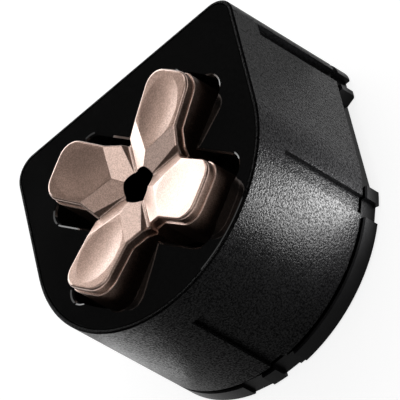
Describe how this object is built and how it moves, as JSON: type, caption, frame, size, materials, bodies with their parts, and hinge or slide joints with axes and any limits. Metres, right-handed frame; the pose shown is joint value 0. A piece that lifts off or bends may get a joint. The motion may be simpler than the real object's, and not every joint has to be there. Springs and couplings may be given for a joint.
{
  "type": "directional pad module",
  "caption": "Directional pad module: a faceted metallic cross rocks in a gloss plate on a black U-shaped housing with guide slots and a contact block at the rear.",
  "frame": {"origin": "centre of the cross on the flat rear face of the module", "axes": "+Z out of the thumb side, +X along the right arm of the cross and +Y along its upper arm; the straight side of the case faces between -X and +Y"},
  "size_m": [0.0445, 0.0445, 0.025],
  "materials": {
    "housing": "black moulded plastic with a fine spark-eroded grain and a soft sheen",
    "face_plate": "high-gloss black plastic",
    "plate_tape": "black foam adhesive tape",
    "dpad_cap": "satin rose-bronze metallic finish with a fine sparkle",
    "dpad_carrier": "black moulded plastic",
    "cap_screws": "zinc-plated steel",
    "pivot_ball": "polished bearing steel",
    "pivot_post": "turned brass",
    "dome_membrane": "translucent grey silicone rubber",
    "membrane_frame": "dark grey moulded plastic",
    "circuit_board": "green solder mask over glass-fibre board",
    "board_screws": "zinc-plated steel",
    "switch_pads": "gold-plated copper",
    "board_chip": "black moulding compound",
    "board_passives": "ceramic with tinned ends",
    "contact_block": "black heat-proof plastic",
    "contact_pins": "gold-plated copper alloy",
    "rear_cover": "black moulded plastic, smoother than the housing",
    "cover_magnets": "nickel-plated magnets",
    "rear_screws": "black-oxide steel",
    "post_screw": "black-oxide steel"
  },
  "bodies": {
    "module": {"housing": "housing", "face_plate": "face_plate", "plate_tape": "plate_tape", "pivot_post": "pivot_post", "dome_membrane": "dome_membrane", "membrane_frame": "membrane_frame", "circuit_board": "circuit_board", "board_screws": "board_screws", "switch_pads": "switch_pads", "board_chip": "board_chip", "board_passives": "board_passives", "contact_block": "contact_block", "contact_pins": "contact_pins", "rear_cover": "rear_cover", "cover_magnets": "cover_magnets", "rear_screws": "rear_screws", "post_screw": "post_screw"},
    "rolling_ball": {"pivot_ball": "pivot_ball"},
    "cross": {"dpad_cap": "dpad_cap", "dpad_carrier": "dpad_carrier", "cap_screws": "cap_screws"}
  },
  "joints": [
    {"name": "rock_up_down", "type": "hinge", "parent": "module", "child": "rolling_ball", "pos_m": [0, 0, 0.014], "axis": [1, 0, 0], "range_deg": [-3.5, 3.5], "stiffness_Nm_per_rad": 0.2, "deforming": ["dome_membrane"]},
    {"name": "rock_left_right", "type": "hinge", "parent": "rolling_ball", "child": "cross", "pos_m": [0, 0, 0.014], "axis": [0, 1, 0], "range_deg": [-3.5, 3.5], "stiffness_Nm_per_rad": 0.2, "deforming": ["dome_membrane"]}
  ]
}
